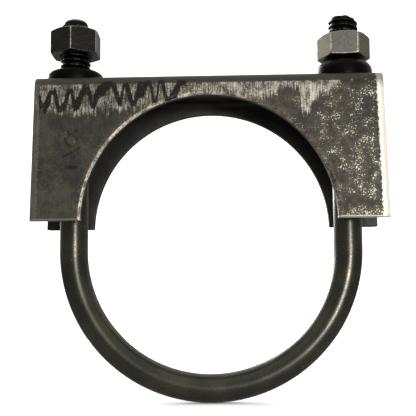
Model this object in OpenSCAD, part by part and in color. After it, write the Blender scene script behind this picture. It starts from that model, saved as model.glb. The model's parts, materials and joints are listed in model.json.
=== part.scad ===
// Saddle clamp with a U-bolt, for round exhaust pipe.
// The origin is on the axis of the pipe seat, half way through the saddle.
// +Z runs along the studs towards the nuts, +Y along the pipe, +X along the saddle.

/* [Saddle] */
// Radius of the two arches that sit on the pipe
seat_r = 37.7; // [36.5:0.1:39]
// Length of the saddle along X at its open edge
saddle_len = 106; // [104:0.5:112]
// Depth of the saddle from front face to back face
saddle_depth = 28; // [24:0.5:34]
// Height of the saddle from its open edge to the top of its web
saddle_h = 43.7; // [43:0.1:50]
// Height of the open edge above the seat's axis
edge_z = 0.6; // [0.5:0.1:4]
// Thickness of the pressed steel sheet
sheet = 3; // [2.5:0.1:3.5]
// Outside radius of the long bends between the web and the flanges
bend_r = 4.5; // [4:0.1:5]
// Rounding of the upright edges at both ends
end_round = 2.3; // [1:0.1:2.4]
// Lean of the two ends, inwards to the top, in degrees
end_draft = 1.3; // [0:0.1:2]
// Roll of the sheared arch edges on the outer faces
arch_roll = 1; // [0.3:0.1:1.2]
// Diameter of the two holes for the studs
stud_hole_d = 10.4; // [10:0.1:11]

/* [U-bolt] */
// Diameter of the rod below the threads
rod_d = 8.6; // [8.4:0.1:8.8]
// Distance of the U bend's centre below the seat's axis
bend_drop = 7.2; // [3:0.1:8]
// Height of the stud ends above the web
stud_rise = 21.7; // [20:0.1:24]
// Length of thread on each stud
thread_len = 30; // [26:1:32]
// Outside diameter of the thread
thread_d = 9.4; // [9.3:0.05:9.5]
// Distance from one thread crest to the next
thread_pitch = 1.5875; // [1.5:0.0125:1.75]
// Depth of the thread
thread_depth = 0.9; // [0.6:0.05:1]
// Height of the rounded stud end
end_dome_h = 1.3; // [0.8:0.1:1.6]

/* [Nuts] */
// Width of a nut across its flats
nut_af = 14.3; // [14:0.1:15]
// Height of a nut
nut_h = 7.5; // [7:0.1:8]
// Diameter of the flat ring on each end of a nut
nut_face_d = 13.4; // [12.5:0.1:13.9]
// Slope of the corner chamfers, in degrees
nut_chamfer_slope = 25; // [15:1:30]
// Gap between the left nut and its washer
left_nut_gap = 3.5; // [0.3:0.1:4]
// Gap between the right nut and its washer
right_nut_gap = 0.35; // [0.1:0.05:2]
// Turn of the left nut about its stud, in degrees
left_nut_turn = 29.5; // [0:0.5:60]
// Turn of the right nut about its stud, in degrees
right_nut_turn = -4; // [-30:0.5:30]
// Radial clearance between the nut bore and the thread crests
thread_clearance = 0.05; // [0.02:0.01:0.09]

/* [Washers] */
// Outside diameter of a washer
washer_d = 17.3; // [16:0.1:18]
// Full height of a washer at its bore
washer_h = 6.7; // [5:0.1:7]
// Height of a washer's straight rim
washer_rim_h = 4.9; // [3:0.1:5]
// Diameter of the flat ring on top of the dome
washer_top_d = 11; // [10.6:0.1:13]
// Bore of a washer
washer_bore_d = 10; // [9.6:0.1:10.4]

/* [Hidden] */
$fn = 96;
eps = 0.01;
far = 200;
rod_r = rod_d / 2;
thread_r = thread_d / 2;
root_r = thread_r - thread_depth;
bore_r = thread_r + thread_clearance;
stud_x = seat_r + rod_r;
web_top_z = edge_z + saddle_h;
stud_top_z = web_top_z + stud_rise;
thread_z = stud_top_z - thread_len;
thread_turns = floor((thread_len - end_dome_h) / thread_pitch);
ridge_z = stud_top_z - end_dome_h - thread_turns * thread_pitch;
washer_top_z = web_top_z + washer_h;
nut_corner_r = nut_af / sqrt(3);
nut_chamfer_h = (nut_corner_r - nut_face_d / 2) * tan(nut_chamfer_slope);
countersink_r = thread_r + 0.45;
countersink_h = 0.5;
washer_r = washer_d / 2;
washer_top_r = washer_top_d / 2;
// A sphere centred on the axis passes through the top of the rim and the edge of the top ring.
dome_z = (pow(washer_rim_h, 2) + pow(washer_r, 2) - pow(washer_h, 2) - pow(washer_top_r, 2))
    / (2 * (washer_rim_h - washer_h));
dome_r = sqrt(pow(washer_r, 2) + pow(washer_rim_h - dome_z, 2));

// An upright shape with a flat foot on the X axis and two rounded corners on top.
module round_shouldered(w, h, r) {
    translate([-w / 2, 0]) square([w, h - r]);
    translate([-w / 2 + r, 0]) square([w - 2 * r, h]);
    for (side = [-1, 1]) translate([side * (w / 2 - r), h - r]) circle(r = r);
}

// The sheet bent to a channel, open at the bottom and at both ends.
module channel() {
    translate([0, 0, edge_z])
        rotate([90, 0, 90])
            linear_extrude(saddle_len + 2, center = true)
                difference() {
                    round_shouldered(saddle_depth, saddle_h, bend_r);
                    translate([0, -eps])
                        round_shouldered(saddle_depth - 2 * sheet, saddle_h - sheet + eps, bend_r - sheet);
                }
}

// A long block that ends in a leaning face with rounded upright edges, at +X.
module end_trim() {
    translate([saddle_len / 2, 0, edge_z])
        rotate([0, -end_draft, 0])
            translate([0, 0, -saddle_h])
                rotate([0, 0, -90])
                    linear_extrude(3 * saddle_h)
                        translate([0, -far])
                            round_shouldered(saddle_depth, far, end_round);
}

// A ring that rounds the arch edge over on the face at +Y.
module arch_edge_roll() {
    rotate([-90, 0, 0])
        rotate_extrude()
            difference() {
                translate([seat_r - arch_roll, saddle_depth / 2 - arch_roll])
                    square([2 * arch_roll, 2 * arch_roll]);
                translate([seat_r + arch_roll, saddle_depth / 2 - arch_roll]) circle(r = arch_roll);
            }
}

module saddle() {
    color([0.29, 0.28, 0.24])
        difference() {
            intersection() {
                channel();
                end_trim();
                mirror([1, 0, 0]) end_trim();
            }
            rotate([90, 0, 0]) cylinder(r = seat_r, h = saddle_depth + 2, center = true);
            arch_edge_roll();
            mirror([0, 1, 0]) arch_edge_roll();
            for (side = [-1, 1])
                translate([side * stud_x, 0, web_top_z - 2 * sheet])
                    cylinder(d = stud_hole_d, h = 3 * sheet);
        }
}

// Half a section through the ridges, from the thread's run-out to the last crest.
function ridge_points() = [
    for (i = [0 : thread_turns - 1])
        for (step = [[root_r, 0.06], [thread_r, 0.44], [thread_r, 0.56], [root_r, 0.94]])
            [step[0], ridge_z + (i + step[1]) * thread_pitch]
];

// Even ridges stand in for the thread: same crest, root and pitch, with no helix.
module threaded_stud() {
    rotate_extrude()
        polygon(concat(
            [[0, thread_z - eps], [rod_r, thread_z - eps], [rod_r, thread_z], [root_r, ridge_z]],
            ridge_points(),
            [[root_r, stud_top_z - end_dome_h], [root_r - end_dome_h, stud_top_z], [0, stud_top_z]]
        ));
}

module u_bolt() {
    color([0.22, 0.21, 0.2]) {
        translate([0, 0, -bend_drop])
            rotate([-90, 0, 0])
                rotate_extrude(angle = 180)
                    translate([stud_x, 0]) circle(r = rod_r);
        for (side = [-1, 1])
            translate([side * stud_x, 0, 0]) {
                translate([0, 0, -bend_drop]) cylinder(r = rod_r, h = thread_z + bend_drop);
                threaded_stud();
            }
    }
}

module washer() {
    color([0.07, 0.07, 0.07])
        difference() {
            intersection() {
                cylinder(r = washer_r, h = washer_h);
                translate([0, 0, dome_z]) sphere(r = dome_r);
            }
            translate([0, 0, -1]) cylinder(d = washer_bore_d, h = washer_h + 2);
        }
}

module left_washer() {
    translate([-stud_x, 0, web_top_z]) washer();
}

module right_washer() {
    translate([stud_x, 0, web_top_z]) washer();
}

// A hexagon with both ends chamfered and a countersunk bore.
module nut() {
    difference() {
        intersection() {
            cylinder(r = nut_corner_r, h = nut_h, $fn = 6);
            rotate_extrude()
                polygon([
                    [0, 0], [nut_face_d / 2, 0], [nut_corner_r, nut_chamfer_h],
                    [nut_corner_r, nut_h - nut_chamfer_h], [nut_face_d / 2, nut_h], [0, nut_h]
                ]);
        }
        translate([0, 0, -1]) cylinder(r = bore_r, h = nut_h + 2);
        translate([0, 0, -eps]) cylinder(r1 = countersink_r, r2 = bore_r, h = countersink_h);
        translate([0, 0, nut_h - countersink_h + eps])
            cylinder(r1 = bore_r, r2 = countersink_r, h = countersink_h);
    }
}

module left_nut() {
    color([0.13, 0.13, 0.12])
        translate([-stud_x, 0, washer_top_z + left_nut_gap]) rotate([0, 0, left_nut_turn]) nut();
}

module right_nut() {
    color([0.48, 0.46, 0.43])
        translate([stud_x, 0, washer_top_z + right_nut_gap]) rotate([0, 0, right_nut_turn]) nut();
}

saddle();
u_bolt();
left_washer();
right_washer();
left_nut();
right_nut();
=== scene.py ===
# %% [markdown]
# # A saddle clamp with a U-bolt
# This clamp holds round exhaust pipe. It has six pieces: a saddle pressed from 3 mm sheet, a rod bent
# to a U with a rolled thread on each end, two domed washers and two hex nuts. The lesson builds each
# piece the way a workshop would, gives it its finish, and then lights the clamp on a pale floor.
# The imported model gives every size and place, so the first cell loads it.

# %% Load the frame
import json
import math
from functools import partial
import bmesh
import bpy
import numpy as np
from mathutils import Matrix, Vector


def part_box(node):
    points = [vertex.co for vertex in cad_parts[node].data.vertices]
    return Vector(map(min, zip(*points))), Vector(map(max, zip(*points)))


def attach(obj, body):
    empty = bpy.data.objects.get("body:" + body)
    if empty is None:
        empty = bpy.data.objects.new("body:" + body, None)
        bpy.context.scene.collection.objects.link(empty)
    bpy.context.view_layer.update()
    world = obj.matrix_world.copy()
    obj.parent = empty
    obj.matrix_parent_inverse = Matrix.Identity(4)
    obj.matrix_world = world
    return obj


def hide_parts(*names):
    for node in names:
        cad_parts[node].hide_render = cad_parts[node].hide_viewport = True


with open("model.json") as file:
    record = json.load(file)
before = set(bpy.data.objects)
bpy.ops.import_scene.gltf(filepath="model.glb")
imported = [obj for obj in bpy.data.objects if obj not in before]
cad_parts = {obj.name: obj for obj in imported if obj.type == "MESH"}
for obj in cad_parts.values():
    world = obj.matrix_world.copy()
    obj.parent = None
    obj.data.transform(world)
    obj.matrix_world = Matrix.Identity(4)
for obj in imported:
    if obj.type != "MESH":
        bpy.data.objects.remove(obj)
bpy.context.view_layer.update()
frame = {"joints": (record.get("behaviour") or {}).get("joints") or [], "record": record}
MM = 0.001

# %% [markdown]
# ## Sizes
# The driving sizes come from the frame: the seat's radius from its mount, the studs from their joints,
# and the rest from the boxes of the nodes. Only what a box can't tell, such as the sheet's thickness
# and the wear on the stud ends, is written here. Everything below is in millimetres, because a workshop
# thinks in them, and the mesh helper turns it to metres once.

# %% Read the sizes
record = frame["record"]
mounts = {mount["name"]: mount for mount in record["mounts"]}
joints = {joint["name"]: joint for joint in frame["joints"]}


def box_mm(node):
    """The lowest and highest corner of a node, in millimetres."""
    return [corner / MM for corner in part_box(node)]


saddle_low, saddle_high = box_mm("saddle")
bolt_low, bolt_high = box_mm("u_bolt")
seat_r = mounts["pipe_seat"]["dims"]["r_mm"]
stud_x = joints["right_nut_spin"]["pos_m"][0] / MM
rod_r = stud_x - seat_r
thread_r = bolt_high.x - stud_x
stud_wear = 0.4
stud_top = bolt_high.z - stud_wear
bend_z = bolt_low.z + stud_x + rod_r
edge_z = saddle_low.z
web_z = saddle_high.z
half_depth = saddle_high.y
half_len = saddle_high.x
sheet = 3.0
bend_r = 4.5
end_draft = math.tan(math.radians(1.3))
flat_z = web_z - bend_r
flat_y = half_depth - bend_r
print(f"seat radius {seat_r:.1f}, studs at +-{stud_x:.1f}, rod {2 * rod_r:.1f}, web top {web_z:.1f} mm")

# %% [markdown]
# ## Helpers
# Each mesh is worked out as an array of points and a list of faces. `make_piece` welds what meets,
# turns the faces outwards and shades the result smooth, with a crease where the angle is sharp.


# %% Make a mesh from points and faces
def make_piece(name, points, faces, wear=None, crease=40.0):
    """A closed mesh object from points in millimetres. Wear is a number for each point, 1 where worn."""
    mesh = bpy.data.meshes.new(name)
    mesh.from_pydata([tuple(point * MM) for point in np.asarray(points, float)], [], faces)
    marks = mesh.attributes.new("wear", "FLOAT", "POINT")
    marks.data.foreach_set("value", np.zeros(len(points)) if wear is None else wear)
    return finish_piece(name, mesh, crease)


def finish_piece(name, mesh, crease=40.0):
    """Welds a mesh, turns its faces outwards, shades it and puts it in the scene."""
    shell = bmesh.new()
    shell.from_mesh(mesh)
    bmesh.ops.remove_doubles(shell, verts=shell.verts, dist=0.002 * MM)
    bmesh.ops.dissolve_degenerate(shell, edges=shell.edges, dist=0.0005 * MM)
    bmesh.ops.recalc_face_normals(shell, faces=shell.faces)
    open_edges = sum(1 for edge in shell.edges if not edge.is_manifold)
    triangles = sum(len(face.verts) - 2 for face in shell.faces)
    shell.to_mesh(mesh)
    shell.free()
    mesh.shade_smooth()
    mesh.set_sharp_from_angle(angle=math.radians(crease))
    piece = bpy.data.objects.new(name, mesh)
    bpy.context.scene.collection.objects.link(piece)
    print(f"{name}: {triangles} triangles, {open_edges} open edges")
    return piece


def patch_faces(start, rows, columns, closed=False):
    """Quads over a grid of points that was stored row by row."""
    width = columns if closed else columns - 1
    faces = []
    for row in range(rows - 1):
        for column in range(width):
            a = start + row * columns + column
            b = start + row * columns + (column + 1) % columns
            faces.append((a, b, b + columns, a + columns))
    return faces


def smooth_step(low, high, value):
    """0 below low, 1 above high and an even S between them."""
    share = np.clip((value - low) / (high - low), 0.0, 1.0)
    return share * share * (3.0 - 2.0 * share)


def rounding(distance, radius):
    """How far a rounded edge falls away, at a distance from where it ends."""
    inside = np.clip(radius - distance, 0.0, radius)
    return radius - np.sqrt(np.maximum(radius * radius - inside * inside, 0.0))


# %% [markdown]
# ## The saddle
# The real saddle is a flat blank, sheared to shape, stamped and bent twice over a die. It is modelled
# as that sheet: an outer skin and an inner skin, 3 mm apart, that share their outlines. Rows of points
# crowd together at every edge, so each sheared edge can be rounded by letting the skin fall away.
# A boolean of simple solids would give the same outline, but its edges would stay knife sharp.
# The first cell spaces the points along the outline of one flange.


# %% Space the points of a flange
def spaced(stops, counts):
    """Numbers from stop to stop, with that many steps between each pair of stops."""
    parts = [np.linspace(a, b, count, endpoint=False) for a, b, count in zip(stops, stops[1:], counts)]
    return np.concatenate([*parts, [stops[-1]]])


def end_x(z):
    """Half the saddle's length at a height: both ends lean inwards a little."""
    return half_len - end_draft * (z - edge_z)


hole_cell = 8.0
cell_steps = 16
edge_crowd = np.array([0.0, 0.04, 0.12, 0.25, 0.45])
arch_crowd = np.array([0.0, 0.03, 0.1, 0.22, 0.4, 0.65, 1.0])
end_crowd = np.array([0.0, 0.07, 0.25, 0.6, 1.1, 1.7, 2.3])
top_reach = end_x(flat_z)
inner_stops = [-stud_x - hole_cell, -stud_x + hole_cell, stud_x - hole_cell, stud_x + hole_cell]
middle_columns = spaced(inner_stops, [cell_steps, 68, cell_steps])
end_columns = top_reach - end_crowd[:-1]
top_columns = np.concatenate([-end_columns, middle_columns, end_columns[::-1]])
print(f"{len(top_columns)} columns along the top of a flange")


def side_heights(count):
    """Heights along the end of a flange, crowded at the bottom edge."""
    crowded = edge_z + edge_crowd
    return np.concatenate([crowded[:-1], np.linspace(crowded[-1], flat_z, count)])


# %% [markdown]
# A flange is a fan of straight rays. Each ray runs from the arch to the outline, so the same few
# lines of code follow the round arch on one side and the straight outline on the other.


# %% Lay the rays of a flange
def end_rays(count):
    """Where the rays of one end meet its outline and the arch, from the foot up, at the left end."""
    heights = side_heights(count)
    arch_top = seat_r * math.sin(math.atan2(flat_z, top_reach))
    rise = edge_z + (heights - edge_z) * (arch_top - edge_z) / (flat_z - edge_z)
    outline = np.stack([-end_x(heights), heights], 1)
    return outline, np.stack([-np.sqrt(seat_r ** 2 - rise ** 2), rise], 1)


def flange_grid(left_count, right_count, row_count):
    """Points (x, z) of a flange: rows from the arch outwards, rays from the left foot to the right."""
    left, arch_left = end_rays(left_count)
    right, arch_right = (ends[::-1] * [-1, 1] for ends in end_rays(right_count))
    angles = np.arctan2(flat_z, top_columns[1:-1])
    arch_mid = seat_r * np.stack([np.cos(angles), np.sin(angles)], 1)
    top_mid = np.stack([top_columns[1:-1], np.full(len(top_columns) - 2, flat_z)], 1)
    outline = np.concatenate([left, top_mid, right])
    arch = np.concatenate([arch_left, arch_mid, arch_right])
    length = np.linalg.norm(outline - arch, axis=1)
    near = arch_crowd[:, None] * np.minimum(1.0, 0.48 * length / arch_crowd[-1])
    far = length - end_crowd[::-1, None] * np.minimum(1.0, 0.48 * length / end_crowd[-1])
    share = np.linspace(0.0, 1.0, row_count + 2)[1:-1, None]
    between = near[-1] + (far[0] - near[-1]) * share
    travel = np.concatenate([near, between, far]) / length
    return arch + travel[..., None] * (outline - arch)


# %% [markdown]
# ### Marks in the sheet
# The press leaves its own marks: a size stamp near the left end, slightly wavy faces, and a fine step
# where the die's edge stopped. The stamp here is a plain inspection mark, a ring with two bars and
# two dots. It is sunk into the real skin, so it catches the light as a punched mark does.


# %% Sink the stamp and the press marks
def segment_distance(x, z, start, end):
    """Distance from points to a straight stroke."""
    along = np.array(end) - np.array(start)
    share = ((x - start[0]) * along[0] + (z - start[1]) * along[1]) / (along @ along)
    share = np.clip(share, 0.0, 1.0)
    return np.hypot(x - start[0] - share * along[0], z - start[1] - share * along[1])


stamp_x, stamp_z = -40.6, 20.8
stamp_bars = [((-2.2, -1.2), (2.4, 1.2)), ((-1.5, -4.6), (1.7, -4.6))]
stamp_dots = [(-1.2, 5.6), (1.5, 6.2)]
stamp_ring_r = 1.7
stamp_ring_z = 3.4
stamp_depth = 0.42


def stamp_sink(x, z):
    """Depth of the punched inspection mark."""
    x = x - stamp_x
    z = z - stamp_z
    strokes = [segment_distance(x, z, *bar) for bar in stamp_bars]
    strokes.append(np.abs(np.hypot(x, z - stamp_ring_z) - stamp_ring_r))
    strokes += [np.hypot(x - dot_x, z - dot_z) - 0.2 for dot_x, dot_z in stamp_dots]
    nearest = np.minimum.reduce(strokes)
    return stamp_depth * (1.0 - smooth_step(0.12, 0.42, nearest))


def face_waves(x, z):
    """The gentle unevenness of a pressed face."""
    slow = np.sin(x * 0.13 + 0.6) * np.sin(z * 0.17 + 1.1)
    quick = np.sin(x * 0.41 + z * 0.23) * np.sin(z * 0.37 - x * 0.11)
    return 0.05 + 0.03 * slow + 0.015 * quick


# %% [markdown]
# ### The skins
# `skin_depth` says how far the outer skin lies below the true face: rounded at the arch, at the ends
# and at the open edge. The inner skin has only a small rounding, as a sheared edge has on the side
# where the punch came in.


# %% Work out both skins of a flange
end_round = 2.3
arch_roll = 1.0
shear_round = 0.35
inner_round = 0.2


def edge_fall(x, z, at_arch, at_end, at_foot):
    """How far a skin falls away, with a radius for the arch, for the ends and for the open edge."""
    return np.maximum.reduce([
        rounding(np.hypot(x, z) - seat_r, at_arch),
        rounding(end_x(z) - np.abs(x), at_end),
        rounding(z - edge_z, at_foot),
    ])


def skin_depth(x, z, front):
    """Depth of a flange's outer skin below its true face."""
    marks = face_waves(x, z) + (stamp_sink(x, z) if front else 0.0)
    return np.maximum(edge_fall(x, z, arch_roll, end_round, shear_round), marks)


def inner_depth(x, z):
    """Depth of a flange's inner skin below the true outer face."""
    return sheet - edge_fall(x, z, inner_round, inner_round, inner_round)


points = []
faces = []


def add_patch(grid, closed=False):
    """Adds a grid of 3D points and its quads. The welding joins the patches."""
    rows, columns = grid.shape[:2]
    faces.extend(patch_faces(len(points), rows, columns, closed))
    points.extend(grid.reshape(-1, 3))


def close_ends(skins):
    """Joins the two skins at the left and at the right end."""
    for end in (0, -1):
        add_patch(np.stack([skins[0][:, end], skins[1][:, end]]))


def add_flange(side, left_count, right_count, row_count):
    """One flange: side -1 is the front, +1 the back."""
    grid = flange_grid(left_count, right_count, row_count)
    x, z = grid[..., 0], grid[..., 1]
    skins = []
    for depth in (skin_depth(x, z, side < 0), inner_depth(x, z)):
        skins.append(np.stack([x, side * (half_depth - depth), z], -1))
        add_patch(skins[-1])
    left_rays = len(side_heights(left_count))
    right_rays = len(side_heights(right_count))
    outer, inner = skins
    add_patch(np.stack([outer[0], inner[0]]))
    close_ends(skins)
    add_patch(np.stack([outer[-1, :left_rays], inner[-1, :left_rays]]))
    add_patch(np.stack([outer[-1, -right_rays:], inner[-1, -right_rays:]]))


add_flange(-1, 150, 60, 54)
add_flange(1, 40, 40, 20)
print(f"flanges: {len(points)} points")

# %% [markdown]
# ### The bends and the web
# Above the flanges the sheet turns over a round of 4.5 mm and becomes the web. The columns carry on
# from the flange, so the skins weld without a gap. Each stud hole sits in a square cell of its own,
# filled with rings that go from round to square.


# %% Bend the sheet over and lay the web
def ends_moved(x, z):
    """Columns near the ends, moved to where the leaning ends are at that height."""
    beyond = np.maximum(np.abs(x) - inner_stops[-1], 0.0)
    scale = (end_x(z) - inner_stops[-1]) / (top_reach - inner_stops[-1])
    return np.sign(x) * (np.minimum(np.abs(x), inner_stops[-1]) + beyond * scale)


def end_fall(x, z, turn):
    """Rounding of the ends of the bends and the web: turn is 0 at the flange and 1 at the web."""
    radius = shear_round + (end_round - shear_round) * (1.0 - smooth_step(0.0, 1.0, turn))
    return rounding(end_x(z) - np.abs(x), radius)


def add_bend(side):
    """The round between a flange and the web, both skins."""
    turn = np.linspace(0.0, 1.0, 13)[:, None]
    angle = turn * math.pi / 2
    skins = []
    for outer in (True, False):
        z_true = flat_z + bend_r * np.sin(angle)
        x = ends_moved(top_columns[None, :], z_true)
        blend = 1.0 - smooth_step(0.0, 1.0, turn)
        depth = np.maximum(end_fall(x, z_true, turn), face_waves(x, flat_z) * blend)
        if not outer:
            depth = sheet - rounding(end_x(z_true) - np.abs(x), inner_round)
        radius = bend_r - depth
        y = side * (flat_y + radius * np.cos(angle))
        skins.append(np.stack([x, y, flat_z + radius * np.sin(angle)], -1))
        add_patch(skins[-1])
    close_ends(skins)


def add_web():
    """Both skins of the web, with the two cells left open."""
    rows = spaced([-flat_y, -hole_cell, hole_cell, flat_y], [2, cell_steps, 2])
    skins = []
    for outer in (True, False):
        x = ends_moved(np.repeat(top_columns[None, :], len(rows), 0), web_z)
        y = np.repeat(rows[:, None], len(top_columns), 1)
        depth = end_fall(x, web_z, 1.0)
        if not outer:
            depth = sheet - rounding(end_x(web_z) - np.abs(x), inner_round)
        skins.append(np.stack([x, y, web_z - depth], -1))
        middle_x = (x[:-1, :-1] + x[1:, 1:]) / 2
        middle_y = (y[:-1, :-1] + y[1:, 1:]) / 2
        in_cell = (np.abs(np.abs(middle_x) - stud_x) < hole_cell) & (np.abs(middle_y) < hole_cell)
        quads = patch_faces(len(points), len(rows), len(top_columns))
        faces.extend(face for face, left_open in zip(quads, in_cell.reshape(-1)) if not left_open)
        points.extend(skins[-1].reshape(-1, 3))
    close_ends(skins)


# %% [markdown]
# The rings of a hole go from a circle to the square cell. Their outermost points are the web's own
# points, so the count around is four times the steps of one side.


# %% Ring the stud holes
hole_r = 5.2


def add_hole(side):
    """The rings and the wall of one stud hole."""
    steps = np.linspace(-hole_cell, hole_cell, cell_steps + 1)[:-1]
    far = np.full(cell_steps, hole_cell)
    corners = [(steps, -far), (far, steps), (-steps, far), (-far, -steps)]
    square = np.concatenate([np.stack(pair, 1) for pair in corners])
    circle = hole_r * square / np.linalg.norm(square, axis=1)[:, None]
    span = np.linalg.norm(square - circle, axis=1)
    travel = np.concatenate([edge_crowd[:, None] / span, np.linspace(0.3, 1.0, 5)[:, None] + 0 * span])
    ring = circle + travel[..., None] * (square - circle)
    away = np.linalg.norm(ring, axis=-1) - hole_r
    rims = []
    for height in (web_z - rounding(away, shear_round), web_z - sheet + rounding(away, inner_round)):
        skin = np.stack([ring[..., 0] + side * stud_x, ring[..., 1], height], -1)
        add_patch(skin, closed=True)
        rims.append(skin[0])
    add_patch(np.stack(rims), closed=True)


for side in (-1, 1):
    add_bend(side)
    add_hole(side)
add_web()
saddle = make_piece("pressed_saddle", points, faces)

# %% [markdown]
# ## The U-bolt
# A straight rod gets its thread first, rolled between two dies, and is then bent round a former.
# Its centre line follows a rule: straight, half a turn, straight. So Geometry Nodes make it. A line is
# moved point by point onto the U, its radius is set along the way, and a circle is swept along it.
# One small function adds every node, for shapes here and for finishes later.


# %% Add nodes with one function
def linear(hex_colour):
    """A linear colour from an sRGB hex value."""
    channels = [int(hex_colour[i:i + 2], 16) / 255 for i in (0, 2, 4)]
    return [((c + 0.055) / 1.055) ** 2.4 if c > 0.04045 else c / 12.92 for c in channels] + [1.0]


def add_node(tree, kind, links=None, **settings):
    """Adds a node. A link is a number, a hex colour, a socket, or a node whose first output is taken."""
    made = tree.nodes.new(kind if kind.startswith(("Geometry", "Node")) else "ShaderNode" + kind)
    for key, value in settings.items():
        setattr(made, key, value)
    for socket, value in (links or {}).items():
        if isinstance(value, bpy.types.Node):
            value = next(output for output in value.outputs if output.enabled)
        if isinstance(value, bpy.types.NodeSocket):
            tree.links.new(value, made.inputs[socket])
        else:
            made.inputs[socket].default_value = linear(value) if isinstance(value, str) else value
    return made


# %% Start and run a geometry tree
def start_tree(name, size_names):
    """A geometry tree with named sizes. Returns the tree, its adder and its inputs."""
    tree = bpy.data.node_groups.new(name, "GeometryNodeTree")
    for size_name in size_names:
        tree.interface.new_socket(size_name, in_out="INPUT", socket_type="NodeSocketFloat")
    tree.interface.new_socket("Material", in_out="INPUT", socket_type="NodeSocketMaterial")
    tree.interface.new_socket("Geometry", in_out="OUTPUT", socket_type="NodeSocketGeometry")
    add = partial(add_node, tree)
    return tree, add, add("NodeGroupInput").outputs


def grow(tree, sizes, material):
    """Runs a tree once with sizes in millimetres and returns the result as plain mesh data."""
    holder = bpy.data.objects.new(tree.name, bpy.data.meshes.new(tree.name))
    bpy.context.scene.collection.objects.link(holder)
    modifier = holder.modifiers.new(tree.name, "NODES")
    modifier.node_group = tree
    for item in tree.interface.items_tree:
        if item.in_out == "INPUT":
            modifier[item.identifier] = material if item.name == "Material" else sizes[item.name] * MM
    view = bpy.context.evaluated_depsgraph_get()
    mesh = bpy.data.meshes.new_from_object(holder.evaluated_get(view), depsgraph=view)
    bpy.data.objects.remove(holder)
    return mesh


# %% [markdown]
# ### The finish of the rod
# Hot-rolled bar keeps a thin oxide skin and a film of oil. The oxide is dark with a brown tint, and
# the oil makes it satin. Fine pits break its gloss and let a little bare metal show.
# Every finish here reads object coordinates times a thousand, so a noise's scale is one over a real
# size in millimetres.

# %% Start a material
SMOOTH = {"interpolation_type": "SMOOTHSTEP"}
COLOUR = {"data_type": "RGBA"}
TIMES = {"operation": "MULTIPLY"}
TIMES_PLUS = {"operation": "MULTIPLY_ADD"}
MINUS = {"operation": "SUBTRACT"}
SIZE = {"operation": "ABSOLUTE"}


def start_material(name, metallic, roughness):
    """A material, its adder and the place in millimetres."""
    material = bpy.data.materials.new(name)
    material.use_nodes = True
    tree = material.node_tree
    shader = tree.nodes["Principled BSDF"]
    shader.inputs["Metallic"].default_value = metallic
    shader.inputs["Roughness"].default_value = roughness
    add = partial(add_node, tree)
    metres = add("TexCoord").outputs["Object"]
    return material, add, add("VectorMath", {0: metres, 1: (1 / MM, 1 / MM, 1 / MM)}, **TIMES).outputs[0]


def dress(material, **values):
    """Links nodes to the shader's sockets, with _ for a space in a socket's name."""
    tree = material.node_tree
    for name, value in values.items():
        output = next(output for output in value.outputs if output.enabled)
        tree.links.new(output, tree.nodes["Principled BSDF"].inputs[name.replace("_", " ")])


# %% Oiled hot-rolled rod
def oiled_rod():
    """Hot-rolled steel bar under a film of oil: dark, satin, with fine pits."""
    material, add, place = start_material("oiled_hot_rolled_rod", 0.85, 0.3)
    cloud = add("TexNoise", {"Vector": place, "Scale": 1 / 9, "Detail": 3})
    grain = add("TexNoise", {"Vector": place, "Scale": 1 / 0.5, "Detail": 3, "Roughness": 0.65})
    browner = add("MapRange", {0: cloud, 1: 0.35, 2: 0.68}, **SMOOTH)
    skin = add("Mix", {0: browner, 6: "3c3c36", 7: "4c483d"}, **COLOUR)
    unpitted = add("MapRange", {0: grain, 1: 0.28, 2: 0.4}, **SMOOTH)
    pitted = add("Mix", {0: unpitted, 6: "2a2824", 7: skin}, **COLOUR)
    specks = add("MapRange", {0: grain, 1: 0.64, 2: 0.76, 4: 0.5}, **SMOOTH)
    colour = add("Mix", {0: specks, 6: pitted, 7: "a39e8d"}, **COLOUR)
    gloss = add("MapRange", {0: grain, 1: 0.35, 2: 0.65, 3: 0.34, 4: 0.25}, **SMOOTH)
    bump = add("Bump", {"Height": grain, "Distance": 0.03 * MM, "Strength": 0.3})
    dress(material, Base_Color=colour, Roughness=gloss, Normal=bump)
    return material


# %% [markdown]
# The rolled threads were blackened and never wiped, so they are the darkest part of the rod. Their
# crests have rubbed against the nuts and show a little grey. The domed ends are grey too: partly rubbed,
# partly a painted highlight.


# %% Blackened thread
def blackened_thread():
    """Black oxide on rolled thread: nearly black, with greyed crests, and a grey stud end that is partly
    wear and partly a painted highlight.
    """
    material, add, place = start_material("blackened_rolled_thread", 1.0, 0.4)
    axes = add("SeparateXYZ", {0: place}).outputs
    grain = add("TexNoise", {"Vector": place, "Scale": 1 / 0.6, "Detail": 2})
    from_axis = add("Math", {0: add("Math", {0: axes["X"]}, **SIZE), 1: stud_x}, **MINUS)
    flat = add("CombineXYZ", {"X": from_axis, "Y": axes["Y"]})
    radius = add("VectorMath", {0: flat}, operation="LENGTH").outputs["Value"]
    crest = add("MapRange", {0: radius, 1: thread_r - 0.3, 2: thread_r - 0.05}, **SMOOTH)
    patch = add("MapRange", {0: grain, 1: 0.42, 2: 0.62, 4: 0.8}, **SMOOTH)
    worn = add("Math", {0: crest, 1: patch}, **TIMES)
    # The last stretch of each stud is greyed: partly wear, partly a painted highlight on the dome's
    # rounding.
    tip_wear_and_highlight = add("MapRange", {0: axes["Z"], 1: stud_top - 1.3, 2: stud_top - 0.5, 4: 0.7})
    worn = add("Math", {0: worn, 1: tip_wear_and_highlight}, operation="MAXIMUM")
    colour = add("Mix", {0: worn, 6: "1d1c1a", 7: "6f6d66"}, **COLOUR)
    bump = add("Bump", {"Height": grain, "Distance": 0.04 * MM, "Strength": 0.4})
    dress(material, Base_Color=colour, Normal=bump)
    return material


rod_finish = oiled_rod()
thread_finish = blackened_thread()
print("finishes:", rod_finish.name, thread_finish.name)


# %% [markdown]
# ### Grow the rod
# Points go from one stud end to the other. `turned` is the angle round the bend, held at a quarter
# turn on both legs, and what is left of the length becomes height. Above the thread's foot the rod
# is only as thick as the thread's core, and the last stretch rounds over to a dome.


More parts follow.
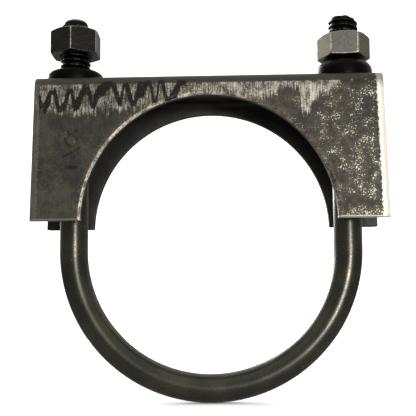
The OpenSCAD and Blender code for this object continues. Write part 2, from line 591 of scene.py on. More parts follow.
# %% The rod's tree
def rod_tree(steps):
    """A rod bent to a U, with slimmer cores where the threads are."""
    tree, add, given = start_tree("bent_rod", [
        "Bend Radius", "Bend Height", "Length", "Rod Radius", "Core Radius", "Thread Foot", "Run Out",
        "Stud Top", "End Round"])
    line = add("GeometryNodeMeshLine", {"Count": steps + 1}, mode="END_POINTS")
    share = add("Math", {0: add("GeometryNodeInputIndex"), 1: 1 / steps, 2: -0.5}, **TIMES_PLUS)
    along = add("Math", {0: share, 1: given["Length"]}, **TIMES)
    free_turn = add("Math", {0: along, 1: given["Bend Radius"]}, operation="DIVIDE")
    turned = add("Clamp", {0: free_turn, 1: -math.pi / 2, 2: math.pi / 2})
    used = add("Math", {0: turned, 1: given["Bend Radius"]}, **TIMES)
    leg = add("Math", {0: add("Math", {0: along, 1: used}, **MINUS)}, **SIZE)
    sine = add("Math", {0: turned}, operation="SINE")
    cosine = add("Math", {0: turned}, operation="COSINE")
    x = add("Math", {0: sine, 1: given["Bend Radius"]}, **TIMES)
    drop = add("Math", {0: cosine, 1: given["Bend Radius"]}, **TIMES)
    z = add("Math", {0: add("Math", {0: given["Bend Height"], 1: drop}, **MINUS), 1: leg})
    bent = add("GeometryNodeSetPosition", {"Geometry": line, "Position": add("CombineXYZ", {0: x, 2: z})})
    curve = add("GeometryNodeMeshToCurve", {0: bent})
    place = add("GeometryNodeInputPosition")
    height = add("SeparateXYZ", {0: place}).outputs["Z"]
    shoulder = add("Math", {0: given["Thread Foot"], 1: given["Run Out"]})
    body = add("MapRange", {0: height, 1: given["Thread Foot"], 2: shoulder,
                            3: given["Rod Radius"], 4: given["Core Radius"]})
    dome_foot = add("Math", {0: given["Stud Top"], 1: given["End Round"]}, **MINUS)
    rise = add("MapRange", {0: height, 1: dome_foot, 2: given["Stud Top"]})
    left = add("Math", {0: 1.0, 1: add("Math", {0: rise, 1: rise}, **TIMES)}, **MINUS)
    cut = add("Math", {0: 1.0, 1: add("Math", {0: left}, operation="SQRT")}, **MINUS)
    radius = add("Math", {0: body, 1: add("Math", {0: cut, 1: given["End Round"]}, **TIMES)}, **MINUS)
    sized = add("GeometryNodeSetCurveRadius", {"Curve": curve, "Radius": radius})
    ring = add("GeometryNodeCurvePrimitiveCircle", {"Resolution": 48, "Radius": 1.0})
    finish_tree(add, sized, ring, given["Material"])
    return tree


def finish_tree(add, path, section, material):
    """Sweeps a section along a path and ends the tree in real geometry with its material."""
    swept = add("GeometryNodeCurveToMesh", {"Curve": path, "Profile Curve": section, "Fill Caps": True})
    if "Scale" in swept.inputs:
        add.args[0].links.new(add("GeometryNodeInputRadius").outputs[0], swept.inputs["Scale"])
    real = add("GeometryNodeRealizeInstances", {0: swept})
    add("NodeGroupOutput", {0: add("GeometryNodeSetMaterial", {"Geometry": real, "Material": material})})


# %% Bend the rod
thread_len = 30.0
thread_depth = 0.9
thread_pitch = 25.4 / 16
core_taper = 0.9
end_round_r = 1.5
core_r = thread_r - thread_depth
rod_length = 2 * (stud_top - bend_z) + math.pi * stud_x
rod_mesh = grow(rod_tree(1200), {
    "Bend Radius": stud_x, "Bend Height": bend_z, "Length": rod_length, "Rod Radius": rod_r,
    "Core Radius": core_r, "Thread Foot": stud_top - thread_len, "Run Out": core_taper, "Stud Top": stud_top,
    "End Round": end_round_r}, rod_finish)
print(f"rod: {rod_length:.0f} mm of bar in {len(rod_mesh.polygons)} faces")

# %% [markdown]
# ### Roll the threads
# A 3/8-16 thread climbs 25.4 / 16 mm a turn. Its ridge is one long spiral with a V-shaped section,
# tapered at both ends, where the rolling dies ran out and where the stud is domed. Sweeping that
# section along a spiral gives a true right-hand helix, which a stack of rings could not. The section
# is turned a quarter, so its crest points away from the stud, and it sinks 0.2 mm into the core.


# %% The thread's tree
def thread_tree(turns, worn_turns):
    """The ridge of a right-hand thread, from z = 0 upwards, worn down over its last turns."""
    tree, add, given = start_tree("rolled_thread", ["Middle Radius", "Height", "Climb", "Root Width",
                                                    "Crest Width"])
    radius = given["Middle Radius"]
    spiral = add("GeometryNodeCurveSpiral", {
        "Resolution": 48, "Rotations": turns, "Start Radius": radius, "End Radius": radius,
        "Height": given["Climb"]})
    along = add("GeometryNodeSplineParameter").outputs["Factor"]
    run_in = add("MapRange", {0: along, 1: 0.0, 2: 1.4 / turns, 3: 0.05})
    run_out = add("MapRange", {0: along, 1: 1 - 0.5 / turns, 2: 1.0, 3: 1.0, 4: 0.1})
    worn = add("MapRange", {0: along, 1: 1 - worn_turns / turns, 2: 1.0, 3: 1.0, 4: 0.55})
    taper = add("Math", {0: add("Math", {0: run_in, 1: run_out}, **TIMES), 1: worn}, **TIMES)
    sized = add("GeometryNodeSetCurveRadius", {"Curve": spiral, "Radius": taper})
    upright = add("GeometryNodeSetCurveNormal", {"Curve": sized}, mode="Z_UP")
    ridge = add("GeometryNodeCurvePrimitiveQuadrilateral", {
        "Height": given["Height"], "Bottom Width": given["Root Width"], "Top Width": given["Crest Width"],
        "Offset": 0.0}, mode="TRAPEZOID")
    turned = add("GeometryNodeTransform", {"Geometry": ridge, "Rotation": (0.0, 0.0, math.pi / 2)})
    finish_tree(add, upright, turned, given["Material"])
    return tree


# %% Roll the threads
ridge_sink = 0.2
ridge_depth = thread_depth + ridge_sink
root_share, crest_share = 0.98, 0.14
stops_short = {-1: 1.6, 1: 1.3}
turns_worn = {-1: 1.2, 1: 3.5}


def roll_thread(length, worn_turns):
    """The mesh of one thread."""
    return grow(thread_tree(length / thread_pitch, worn_turns), {
        "Middle Radius": thread_r - ridge_depth / 2, "Height": ridge_depth, "Climb": length,
        "Root Width": root_share * thread_pitch, "Crest Width": crest_share * thread_pitch}, thread_finish)


thread_meshes = {side: roll_thread(thread_len - stops_short[side], turns_worn[side]) for side in (-1, 1)}
for side, mesh in thread_meshes.items():
    corners = np.array([corner.co for corner in mesh.vertices]) / MM
    reach = np.hypot(corners[:, 0], corners[:, 1])
    print(f"thread {side}: {len(mesh.polygons)} faces, radius {reach.min():.2f} to {reach.max():.2f} mm")

# %% [markdown]
# The rod and both threads are one piece of steel, so they become one mesh. Both threads are
# right-hand, so the second is moved and never mirrored. All that lies above the thread's foot gets
# the blackened finish.


# %% Join the rod and its threads
knocked_len = 2.5
thread_lift = 0.2


def batter(place):
    """The right stud's end is knocked: it slopes, and its rim is uneven."""
    if place.x > 0 and place.z > (stud_top - knocked_len) * MM:
        away = place.x / MM - stud_x
        share = (place.z / MM - stud_top + knocked_len) / knocked_len
        dent = 0.55 + 0.1 * away + 0.16 * math.sin(1.9 * away + place.y / MM)
        place.z -= share * max(dent, 0.0) * MM


def join_bolt():
    """One mesh of the rod and the two threads."""
    shell = bmesh.new()
    shell.from_mesh(rod_mesh)
    for side in (-1, 1):
        first = len(shell.verts)
        shell.from_mesh(thread_meshes[side])
        shell.verts.ensure_lookup_table()
        shift = Vector((side * stud_x, 0.0, stud_top - thread_len + thread_lift)) * MM
        bmesh.ops.translate(shell, verts=shell.verts[first:], vec=shift)
    for corner in shell.verts:
        batter(corner.co)
    for face in shell.faces:
        face.material_index = int(face.calc_center_median().z > (stud_top - thread_len + 0.1) * MM)
    mesh = bpy.data.meshes.new("bent_u_bolt")
    shell.to_mesh(mesh)
    shell.free()
    return mesh


bolt = finish_piece("bent_u_bolt", join_bolt(), crease=35.0)

# %% [markdown]
# ## Nuts and washers
# A hex nut is cut from bar: six flats, a cone turned on each end, and a countersunk bore. Each ring of
# points here follows the hexagon or a circle at the same angles, so the cones meet the flats in the
# curved lines that a real nut has. The corners carry a wear mark, because they shine first.


# %% Draw a hexagon with rounded corners
def hexagon(flat_to_flat, corner_round, turn):
    """Points round a hexagon, and which of them are on its corners."""
    reach = (flat_to_flat / 2 - corner_round) / math.cos(math.pi / 6)
    outline = []
    on_corner = []
    for corner in range(6):
        middle = corner * math.pi / 3 + math.radians(turn)
        centre = reach * np.array([math.cos(middle), math.sin(middle)])
        arc = middle + np.linspace(-math.pi / 6, math.pi / 6, 7)
        rim = centre + corner_round * np.stack([np.cos(arc), np.sin(arc)], 1)
        outline += list(rim)
        on_corner += [1.0] * 7
        next_middle = middle + math.pi / 3
        next_arc = next_middle - math.pi / 6
        goal = reach * np.array([math.cos(next_middle), math.sin(next_middle)])
        goal = goal + corner_round * np.array([math.cos(next_arc), math.sin(next_arc)])
        for share in flat_steps:
            outline.append(rim[-1] + share * (goal - rim[-1]))
            on_corner.append(0.0)
    return np.array(outline), np.array(on_corner)


# %% Cut a nut
nut_flats = 14.3
nut_height = 7.5
nut_face_r = 6.7
top_slope = math.tan(math.radians(25))
foot_slope = math.tan(math.radians(11))
nut_bore_r = thread_r + 0.05
flat_steps = (0.015, 0.06, 0.3, 0.5, 0.7, 0.94, 0.985)


def nut_half(reach, slope):
    """Rows from the bore to the flats: radius, height above the end and wear."""
    rise = (reach - nut_face_r) * slope
    return [
        (nut_bore_r, 0.5, 0.0), (nut_bore_r + 0.4, 0.06, 0.2), (nut_bore_r + 0.5, 0.0, 0.3),
        (nut_face_r - 0.25, 0.0, 0.0), (nut_face_r - 0.05, 0.06 * slope, 0.5),
        (nut_face_r + 0.15, 0.18 * slope, 0.2), (reach - 0.3, rise - 0.3 * slope, 0.1),
        (reach - 0.1, rise - 0.03, 0.25), (reach - 0.02, rise + 0.08, 0.25),
        (reach, rise + 0.2, 0.0), (reach, rise + 0.5, 0.0),
    ]


def make_nut(name, node, x, turn, corner_round, taller):
    """A hex nut in its node's box, or a little taller downwards."""
    outline, on_corner = hexagon(nut_flats, corner_round, turn)
    reach = np.linalg.norm(outline, axis=1)
    ways = outline / reach[:, None]
    foot = box_mm(node)[0].z - taller
    rows = nut_half(reach, foot_slope)
    rows += [(radius, nut_height + taller - height, worn)
             for radius, height, worn in reversed(nut_half(reach, top_slope))]
    rings = []
    wear = []
    for radius, height, worn in rows:
        flat = ways * np.broadcast_to(radius, reach.shape)[:, None]
        level = np.broadcast_to(foot + height, reach.shape)
        rings.append(np.stack([x + flat[:, 0], flat[:, 1], level], 1))
        wear.append(np.maximum(worn, on_corner * (np.ndim(radius) > 0)))
    rings.append(rings[0])
    wear.append(wear[0])
    return make_piece(name, np.concatenate(rings), patch_faces(0, len(rings), len(reach), True),
                      np.concatenate(wear), crease=60.0)


left_nut = make_nut("backed_off_hex_nut", "left_nut", -stud_x, 29.5, 0.22, 0.5)
right_nut = make_nut("worn_hex_nut", "right_nut", stud_x, -4.0, 0.45, 0.0)

# %% [markdown]
# The washers are turned and domed, so each is one profile spun round the stud: a rounded foot, the
# dome, and the bore with its broken edges. The left washer is the flatter of the two.


# %% Spin the washers
def arc_points(centre_r, centre_z, radius, start, end, steps):
    """Points (r, z) along an arc, with angles in degrees."""
    angles = np.radians(np.linspace(start, end, steps + 1))
    return [(centre_r + radius * math.cos(a), centre_z + radius * math.sin(a)) for a in angles]


washer_r = 8.65
washer_bore = 5.0
washer_steps = 96
high_dome = [(8.65, 3.3), (8.56, 3.9), (8.3, 4.5), (7.95, 5.0), (7.5, 5.45), (6.95, 5.85), (6.3, 6.2),
             (5.8, 6.4)]
low_dome = [(8.65, 3.0), (8.58, 3.35), (8.35, 3.7), (7.95, 4.0), (7.3, 4.25), (6.5, 4.42), (5.9, 4.55),
            (5.5, 4.7)]


def make_washer(name, node, x, dome):
    """A washer standing on the bottom of its node's box, with that dome from the rim to the bore."""
    foot = box_mm(node)[0].z
    tall = dome[-1][1] + 0.2
    profile = arc_points(washer_r - 0.4, 0.4, 0.4, -90, 0, 4)
    profile += dome
    profile += arc_points(washer_bore + 0.2, tall - 0.2, 0.2, 90, 180, 4)
    profile += arc_points(washer_bore + 0.2, 0.2, 0.2, 180, 270, 4)
    profile.append(profile[0])
    angles = np.linspace(0, 2 * math.pi, washer_steps + 1)[:-1]
    rings = [np.stack([x + r * np.cos(angles), r * np.sin(angles), np.full(washer_steps, foot + z)], 1)
             for r, z in profile]
    quads = patch_faces(0, len(rings), washer_steps, True)
    return make_piece(name, np.concatenate(rings), quads, crease=50.0)


left_washer = make_washer("left_domed_washer", "left_washer", -stud_x, low_dome)
right_washer = make_washer("right_domed_washer", "right_washer", stud_x, high_dome)

# %% [markdown]
# ## Finish of the saddle
# The sheet is hot-rolled steel that still has its mill scale, a dark olive-grey oxide. The shop has
# scraped the scale off along the top of the front face, with strokes up and down, and wrote on the
# bare band with a marker. The right end and the arch's edge are rubbed bare, and a painted highlight
# lightens them further. The inside of the channel gets painted shade. The writing is replaced
# here with a scribble that stands for nothing.
# Each mark is a layer: a mask worked out from the place in millimetres, and a colour. The layers are
# mixed in one after another at the end. The scale comes first. Its flecks and stains gather in
# clusters, because sheets rub on each other in some places more than in others.


# %% The scale
def scale_layers(add, axes, noises, front, to_right, over_arch):
    """Unevenness of the scale, bright flecks, brown stains, and painted shade inside the channel."""
    cloud, grain, clusters, strokes, fine = noises
    uneven = add("Math", {0: grain, 1: add("Math", {0: clusters, 1: cloud})})
    mottle = add("MapRange", {0: uneven, 1: 1.25, 2: 1.8, 4: 0.8}, **SMOOTH)
    worn_through = add("MapRange", {0: strokes, 1: 0.55, 2: 0.75, 4: 0.3}, **SMOOTH)
    sparse = add("MapRange", {0: to_right, 3: 1.1, 4: 0.93})
    threshold = add("Math", {0: clusters, 1: -0.6, 2: sparse}, **TIMES_PLUS)
    over = add("Math", {0: fine, 1: threshold}, **MINUS)
    flecks = add("Math", {0: add("MapRange", {0: over, 2: 0.05, 4: 0.95}), 1: front}, **TIMES)
    stains = add("MapRange", {0: add("Math", {0: grain, 1: clusters}), 1: 0.96, 2: 0.8, 4: 0.75})
    stains = add("Math", {0: stains, 1: add("Math", {0: to_right, 1: front}, **TIMES)}, **TIMES)
    # Painted shade: the inside faces of the channel are darkened, most away from the arch and least at the
    # right end.
    inside = add("MapRange", {0: add("Math", {0: axes["Y"]}, **SIZE), 1: 12.6, 2: 11.4})
    share = add("MapRange", {0: axes["X"], 1: 40.0, 2: 46.0, 3: 0.85, 4: 0.3})
    deep = add("MapRange", {0: over_arch, 1: 0.3, 2: 3.0, 3: 0.35})
    painted_channel_shade = add("Math", {0: inside, 1: add("Math", {0: share, 1: deep}, **TIMES)}, **TIMES)
    return [(mottle, "454138"), (worn_through, "625e52"), (flecks, "ddd5bd"), (stains, "2a1c16"),
            (painted_channel_shade, "100f0e")]


# %% [markdown]
# The scraped band has a ragged lower edge. A float curve holds how far down the tool came along the
# saddle, and the strokes of the tool make that line uneven.

# %% The scraped band
band_foot = [(-53, 37), (-47, 33.5), (-40, 32.5), (-31, 32.8), (-22, 34), (8, 35), (19, 37), (22, 39.5),
             (26, 39.8), (27.5, 33), (29, 31.3), (30.5, 34), (33, 37), (36, 38.5), (41, 42), (53, 44)]
band_low, band_high = 30.0, 45.0


def foot_curve(add, x):
    """The height of the band's lower edge at x."""
    curve = add("FloatCurve", {"Value": add("MapRange", {0: x, 1: -half_len, 2: half_len})})
    marks = curve.mapping.curves[0].points
    places = [((stop_x + half_len) / (2 * half_len), (stop_z - band_low) / (band_high - band_low))
              for stop_x, stop_z in band_foot]
    for across, height in places[1:-1]:
        marks.new(across, height)
    marks[0].location = places[0]
    marks[-1].location = places[-1]
    curve.mapping.update()
    return add("MapRange", {0: curve, 3: band_low, 4: band_high})


def band_layers(add, axes, noises, front, to_right):
    """The scraped band with its scratches and the darker bend above it, and the band's mask."""
    clusters, strokes, fine = noises[2:]
    above = add("Math", {0: axes["Z"], 1: foot_curve(add, axes["X"])}, **MINUS)
    ragged = add("Math", {0: strokes, 1: 9.0, 2: -4.5}, **TIMES_PLUS)
    band = add("MapRange", {0: add("Math", {0: above, 1: ragged}), 1: -0.8, 2: 1.2}, **SMOOTH)
    below_bend = add("MapRange", {0: axes["Z"], 1: 41.4, 2: 41.0})
    scraped = add("Math", {0: band, 1: add("Math", {0: front, 1: below_bend}, **TIMES)}, **TIMES)
    share = add("Math", {0: scraped, 1: 0.88}, **TIMES)
    scratch = add("Math", {0: strokes, 1: add("Math", {0: fine, 1: clusters})})
    scratch = add("Math", {0: to_right, 1: 0.15, 2: scratch}, **TIMES_PLUS)
    scratched = add("MapRange", {0: scratch, 1: 1.42, 2: 1.95})
    bright = add("Mix", {0: scratched, 6: "3c3932", 7: "cbc4b2"}, **COLOUR)
    over_bend = add("MapRange", {0: axes["Z"], 1: 41.0, 2: 41.5, 4: 0.7})
    on_bend = add("MapRange", {0: axes["Y"], 1: -8.5, 2: -9.5})
    bend = add("Math", {0: over_bend, 1: on_bend}, **TIMES)
    return [(share, bright), (bend, "352f27")], scraped


# %% [markdown]
# Handling rubs the corners bare: a broad cream band down the right end, a thin broken line round the
# arch, where the sheet was sheared, and the open edge at the bottom. The right end and the left half
# of the arch's line are made far lighter than the rest: painted highlights where the light from the right
# falls.


# %% The rubbed edges
def edge_layers(add, axes, noises, to_right, over_arch):
    """The rubbed right end, lightened by a painted highlight, the arch's brown fringe and its bright lip,
    rubbed bare and lightened on its left half by a painted highlight, the open edge, and the lip's mask.
    """
    _, grain, clusters, _, fine = noises
    x, y, z = axes["X"], axes["Y"], axes["Z"]
    from_middle = add("Math", {0: z, 1: end_draft, 2: add("Math", {0: x}, **SIZE)}, **TIMES_PLUS)
    uneven = add("Math", {0: grain, 1: 1.8, 2: -0.9}, **TIMES_PLUS)
    from_middle = add("Math", {0: from_middle, 1: uneven})
    at_end = add("MapRange", {0: from_middle, 1: half_len - 2.6, 2: half_len - 2.1}, **SMOOTH)
    # The right end is made far lighter than the left: bare metal rubbed bright, plus a painted highlight
    # where the light from the right shines.
    right_end_highlight = add("MapRange", {0: x, 1: -1.0, 2: 1.0, 3: 0.05, 4: 0.92})
    outer = add("MapRange", {0: y, 1: -9.0, 2: -10.5})
    below_top = add("MapRange", {0: z, 1: 41.5, 2: 38.5, 3: 0.3})
    rubbed = add("Math", {0: at_end, 1: add("Math", {0: right_end_highlight, 1: outer}, **TIMES)}, **TIMES)
    rubbed = add("Math", {0: rubbed, 1: below_top}, **TIMES)
    outside = add("MapRange", {0: add("Math", {0: y}, **SIZE), 1: 12.9, 2: 13.1})
    near_arch = add("MapRange", {0: over_arch, 1: 2.2, 2: 0.9}, **SMOOTH)
    patchy = add("MapRange", {0: grain, 1: 0.45, 2: 0.62, 4: 0.45}, **SMOOTH)
    patchy = add("Math", {0: patchy, 1: add("Math", {0: near_arch, 1: outside}, **TIMES)}, **TIMES)
    on_lip = add("MapRange", {0: over_arch, 1: 0.75, 2: 0.4}, **SMOOTH)
    lip = add("Math", {0: on_lip, 1: outside}, **TIMES)
    # The lip is bare metal, and its left half gets a painted highlight, where the light from the right
    # catches the roll.
    lip_highlight_side = add("MapRange", {0: x, 1: 12.0, 2: -12.0, 3: 0.15, 4: 0.95})
    kept = add("MapRange", {0: add("Math", {0: fine, 1: clusters}), 1: 0.93, 2: 1.1, 3: 0.15})
    lip_wear_and_highlight = add("Math", {0: lip, 1: add("Math", {0: kept, 1: lip_highlight_side}, **TIMES)}, **TIMES)
    at_edge = add("MapRange", {0: z, 1: edge_z + 0.6, 2: edge_z + 0.25}, **SMOOTH)
    share = add("Math", {0: outer, 1: add("MapRange", {0: to_right, 3: 0.2, 4: 0.7})}, **TIMES)
    at_edge = add("Math", {0: at_edge, 1: share}, **TIMES)
    return [(rubbed, "f4edda"), (patchy, "73604a"), (lip_wear_and_highlight, "e6dec9"), (at_edge, "c2bba6")], lip


# %% [markdown]
# The marker line is a wave whose height and spacing wander with noise. Dividing its distance by its
# own steepness keeps the stroke as thick on the way up as it is on the turns.


# %% The scribble
marker_from, marker_to = -50.6, -6.0
marker_step = 5.6


def scribble(add, place, axes, grain, front):
    """The mask of a marker line that goes up and down and stands for nothing."""
    x, z = axes["X"], axes["Z"]
    wander = add("TexNoise", {"Vector": place, "Scale": 1 / 6, "Detail": 1}, noise_dimensions="2D")
    phase = add("Math", {0: wander, 1: 7.0, 2: x}, **TIMES_PLUS)
    angle = add("Math", {0: phase, 1: 2 * math.pi / marker_step}, **TIMES)
    lengths = add("TexNoise", {"Vector": place, "Scale": 1 / 4, "Detail": 1})
    sway = add("MapRange", {0: lengths, 1: 0.3, 2: 0.7, 3: 0.5, 4: 1.4})
    swing = add("Math", {0: add("Math", {0: angle}, operation="SINE"), 1: sway}, **TIMES)
    middle = add("MapRange", {0: x, 1: -51.0, 2: -6.0, 3: 36.4, 4: 39.0})
    line = add("Math", {0: swing, 1: 2.7, 2: middle}, **TIMES_PLUS)
    gap = add("Math", {0: add("Math", {0: z, 1: line}, **MINUS)}, **SIZE)
    slope = add("Math", {0: add("Math", {0: angle}, operation="COSINE"), 1: 3.0}, **TIMES)
    steep = add("Math", {0: add("Math", {0: slope, 1: slope, 2: 1.0}, **TIMES_PLUS)}, operation="SQRT")
    gap = add("Math", {0: gap, 1: steep}, operation="DIVIDE")
    stroke = add("MapRange", {0: gap, 1: 1.0, 2: 0.6}, **SMOOTH)
    start = add("MapRange", {0: x, 1: marker_from, 2: marker_from + 0.6})
    stop = add("MapRange", {0: x, 1: marker_to, 2: marker_to - 0.6})
    ink = add("Math", {0: stroke, 1: add("Math", {0: start, 1: stop}, **TIMES)}, **TIMES)
    faded = add("MapRange", {0: grain, 1: 0.3, 2: 0.5, 3: 0.7, 4: 1.0})
    return add("Math", {0: ink, 1: add("Math", {0: faded, 1: front}, **TIMES)}, **TIMES)


# %% Scraped mill scale
def mill_scale():
    """Hot-rolled sheet with mill scale: olive-grey, dull, scraped and rubbed bright in places."""
    material, add, place = start_material("scraped_mill_scale", 0.6, 0.5)
    axes = add("SeparateXYZ", {0: place}).outputs
    # The grain of real scale is a tenth of a millimetre. It is drawn four times as coarse, so it shows.
    cloud = add("TexNoise", {"Vector": place, "Scale": 1 / 11, "Detail": 4})
    grain = add("TexNoise", {"Vector": place, "Scale": 1 / 0.55, "Detail": 3, "Roughness": 0.7})
    clusters = add("TexNoise", {"Vector": place, "Scale": 1 / 3.5, "Detail": 3, "Roughness": 0.6})
    stretched = add("VectorMath", {0: place, 1: (1 / 0.45, 1 / 0.45, 1 / 5)}, **TIMES)
    strokes = add("TexNoise", {"Vector": stretched, "Scale": 1.0, "Detail": 3, "Roughness": 0.6})
    fine = add("TexNoise", {"Vector": place, "Scale": 1 / 0.4, "Detail": 2, "Roughness": 0.6})
    noises = (cloud, grain, clusters, strokes, fine)
    front = add("MapRange", {0: axes["Y"], 1: -13.0, 2: -13.4})
    to_right = add("MapRange", {0: axes["X"], 1: -15.0, 2: 48.0}, **SMOOTH)
    upright = add("CombineXYZ", {"X": axes["X"], "Z": axes["Z"]})
    radial = add("VectorMath", {0: upright}, operation="LENGTH").outputs["Value"]
    over_arch = add("Math", {0: radial, 1: seat_r}, **MINUS)

    layers = scale_layers(add, axes, noises, front, to_right, over_arch)
    band, scraped = band_layers(add, axes, noises, front, to_right)
    edges, lip = edge_layers(add, axes, noises, to_right, over_arch)
    layers += band + edges + [(scribble(add, place, axes, grain, front), "18100d")]
    tint = add("MapRange", {0: cloud, 1: 0.35, 2: 0.65}, **SMOOTH)
    colour = add("Mix", {0: tint, 6: "292824", 7: "2e2a20"}, **COLOUR)
    for mask, paint in layers:
        colour = add("Mix", {0: mask, 6: colour, 7: paint}, **COLOUR)

    bare = add("Math", {0: scraped, 1: lip}, operation="MAXIMUM")
    gloss = add("MapRange", {0: bare, 3: 0.44, 4: 0.32})
    rough = add("Math", {0: grain, 1: 0.16, 2: gloss}, **TIMES_PLUS)
    deeper = add("Math", {0: scraped, 1: 1.5}, **TIMES)
    relief = add("Math", {0: strokes, 1: deeper, 2: grain}, **TIMES_PLUS)
    bump = add("Bump", {"Height": relief, "Distance": 0.05 * MM, "Strength": 0.5})
    dress(material, Base_Color=colour, Roughness=rough, Normal=bump)
    return material


saddle_finish = mill_scale()
print("finish:", saddle_finish.name, len(saddle_finish.node_tree.nodes), "nodes")

# %% [markdown]
# ## Finish of the nuts and washers
# The washers are blackened in hot salts: nearly black and satin. The left nut has the same black
# oxide, rubbed bright on its corners. The right nut has lost its oxide, and the marks of the cutter
# run round its flats. Its front flat is made lighter as a painted highlight from the key soft box. The wear
# mark that the mesh carries tells each finish where the corners are.


# %% Nut and washer finishes
def turned_steel(name, skin, brighter, rubbed, roughness, brush_mm, front_flat_highlight="808080", front_highlight_share=0.0):
    """Steel cut from bar: fine cutter lines, a rubbed colour on its corners, and a painted highlight on the
    flat that faces the front.
    """
    material, add, place = start_material(name, 1.0, roughness)
    stretched = add("VectorMath", {0: place, 1: (1 / 3, 1 / 3, 1 / brush_mm)}, **TIMES)
    lines = add("TexNoise", {"Vector": stretched, "Scale": 1.0, "Detail": 3, "Roughness": 0.6})
    grain = add("TexNoise", {"Vector": place, "Scale": 1 / 0.7, "Detail": 3, "Roughness": 0.6})
    share = add("MapRange", {0: lines, 1: 0.35, 2: 0.65}, **SMOOTH)
    colour = add("Mix", {0: share, 6: skin, 7: brighter}, **COLOUR)
    depth = add("SeparateXYZ", {0: place}).outputs["Y"]
    # Painted highlight: the flat that faces the front, toward the key soft box, is made lighter.
    nearest = add("MapRange", {0: depth, 1: -6.3, 2: -6.9, 4: front_highlight_share}, **SMOOTH)
    colour = add("Mix", {0: nearest, 6: colour, 7: front_flat_highlight}, **COLOUR)
    wear = add("Attribute", {}, attribute_name="wear").outputs["Fac"]
    patchy = add("MapRange", {0: grain, 1: 0.3, 2: 0.6, 3: 0.3, 4: 1.0}, **SMOOTH)
    worn = add("Math", {0: add("Math", {0: wear, 1: patchy}, **TIMES), 1: 0.9}, **TIMES)
    colour = add("Mix", {0: worn, 6: colour, 7: rubbed}, **COLOUR)
    gloss = add("MapRange", {0: grain, 1: 0.3, 2: 0.7, 3: roughness - 0.06, 4: roughness + 0.08})
    height = add("Math", {0: lines, 1: 0.6, 2: grain}, **TIMES_PLUS)
    bump = add("Bump", {"Height": height, "Distance": 0.04 * MM, "Strength": 0.4})
    dress(material, Base_Color=colour, Roughness=gloss, Normal=bump)
    return material


washer_finish = turned_steel("hot_blackened_washer", "121312", "1b1c1a", "242422", 0.36, 0.5)
left_nut_finish = turned_steel("blackened_nut", "34332f", "403f3a", "e3ddcb", 0.36, 0.35)
right_nut_finish = turned_steel("bare_worn_nut", "625d51", "79745f", "f4efe2", 0.34, 0.2, "8a8780", 0.85)
print("finishes:", washer_finish.name, left_nut_finish.name, right_nut_finish.name)

# %% [markdown]
# ## Assemble
# Each piece takes the place of its node in the imported model, rides that node's body, and gets its
# finishes.

# %% Ride and replace
pieces = [
    (saddle, "saddle", "mill_scale_steel", [saddle_finish]),
    (bolt, "u_bolt", "dark_rod_steel", [rod_finish, thread_finish]),
    (left_washer, "left_washer", "black_oxide_steel", [washer_finish]),
    (right_washer, "right_washer", "black_oxide_steel", [washer_finish]),
    (left_nut, "left_nut", "dark_nut_steel", [left_nut_finish]),
    (right_nut, "right_nut", "worn_nut_steel", [right_nut_finish]),
]
for piece, node, slot_name, finishes in pieces:
    for finish in finishes:
        piece.data.materials.append(finish)
    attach(piece, node)
    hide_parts(node)
    print(f"{piece.name} rides {node}")

# %% [markdown]
# ## Floor, light and camera
# The floor is a pale board, right under the bend. Polished and oiled steel shows its surroundings more
# than its own colour, so the light is set for what the steel sees: one compact soft box to the right
# of the camera, which draws the narrow streak along the rod, a soft sky, and a dim floor side. A wide
# soft box behind the clamp keeps its back from going dark.


# %% Lay the floor
def pale_board():
    """Matt painted board: pale, with a fine roller texture."""
    material, add, place = start_material("matt_pale_board", 0.0, 0.9)
    grain = add("TexNoise", {"Vector": place, "Scale": 1 / 1.5, "Detail": 2})
    colour = add("Mix", {0: grain, 6: "f4f4f2", 7: "f7f7f5"}, **COLOUR)
    bump = add("Bump", {"Height": grain, "Distance": 0.02 * MM, "Strength": 0.2})
    dress(material, Base_Color=colour, Normal=bump)
    return material


floor_mesh = bpy.data.meshes.new("floor")
floor_z = bolt_low.z * MM
floor_reach = 20
floor_corners = [(-1, -1), (1, -1), (1, 1), (-1, 1)]
floor_mesh.from_pydata([(x * floor_reach, y * floor_reach, floor_z) for x, y in floor_corners],
                       [], [(0, 1, 2, 3)])
floor = bpy.data.objects.new("floor", floor_mesh)
bpy.context.scene.collection.objects.link(floor)
floor.data.materials.append(pale_board())
floor.visible_glossy = False
print(f"floor at {floor_z / MM:.1f} mm")

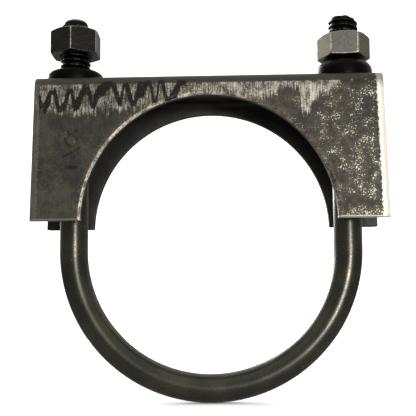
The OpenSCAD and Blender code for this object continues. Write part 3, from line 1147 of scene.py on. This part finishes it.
# %% Light the studio
world = bpy.data.worlds.new("soft_studio")
world.use_nodes = True
bpy.context.scene.world = world
sky = partial(add_node, world.node_tree)
direction = sky("SeparateXYZ", {0: sky("TexCoord").outputs["Generated"]}).outputs
up = direction["Z"]
back = sky("MapRange", {0: direction["Y"], 1: -0.2, 2: 0.5, 3: 0.12, 4: 0.34}, **SMOOTH)
ceiling = sky("MapRange", {0: up, 1: 0.1, 2: 0.8, 3: 0.0, 4: 0.6}, **SMOOTH)
walls = sky("MapRange", {0: up, 1: -0.12, 2: 0.2, 3: 0.04, 4: back}, **SMOOTH)
ground = sky("MapRange", {0: up, 1: -0.1, 2: -0.35, 3: 0.0, 4: 0.22}, **SMOOTH)
seen = sky("Math", {0: ceiling, 1: sky("Math", {0: walls, 1: ground})})
plain = sky("Background", {"Color": "ffffff", "Strength": 1.6})
studio = sky("Background", {"Color": "fffdf8", "Strength": seen})
glossy = sky("LightPath").outputs["Is Glossy Ray"]
both = sky("MixShader", {0: glossy, 1: plain, 2: studio})
world.node_tree.links.new(both.outputs[0], world.node_tree.nodes["World Output"].inputs["Surface"])


def soft_box(name, place_mm, aim_mm, size_mm, watts):
    """A square soft box aimed at a point. It lights the clamp but is not seen."""
    light = bpy.data.lights.new(name, "AREA")
    light.size = size_mm * MM
    light.energy = watts
    lamp = bpy.data.objects.new(name, light)
    lamp.location = Vector(place_mm) * MM
    lamp.rotation_euler = (Vector(aim_mm) - Vector(place_mm)).to_track_quat("-Z", "Y").to_euler()
    lamp.visible_camera = False
    bpy.context.scene.collection.objects.link(lamp)
    return lamp


soft_box("key_soft_box", (190, -600, -20), (0, 0, 0), 105, 2.6)
soft_box("fill_soft_box", (-420, 760, 330), (0, 0, 0), 420, 6.0)
print("studio lit")

# %% Place the camera
camera_mm = (8.125, -252.18, -28.98)
yaw, pitch, roll = -0.0349, 0.1034, -0.0077
ahead = Vector((math.sin(yaw) * math.cos(pitch), math.cos(yaw) * math.cos(pitch), math.sin(pitch)))
level = Vector((math.cos(yaw), -math.sin(yaw), 0.0))
upward = level.cross(ahead)
right = level * math.cos(roll) + upward * math.sin(roll)
top = upward * math.cos(roll) - level * math.sin(roll)
camera_data = bpy.data.cameras.new("camera")
camera_data.lens = 71.57
camera_data.sensor_width = 36.0
camera_data.shift_y = 0.0649
camera_data.clip_start = 0.01
camera_data.clip_end = 100.0
camera = bpy.data.objects.new("camera", camera_data)
turn = Matrix((right, top, -ahead)).transposed().to_4x4()
camera.matrix_world = Matrix.Translation(Vector(camera_mm) * MM) @ turn
bpy.context.scene.collection.objects.link(camera)
bpy.context.scene.camera = camera
bpy.context.scene.view_settings.view_transform = "Standard"
print("camera at", [round(value / MM, 1) for value in camera.location])
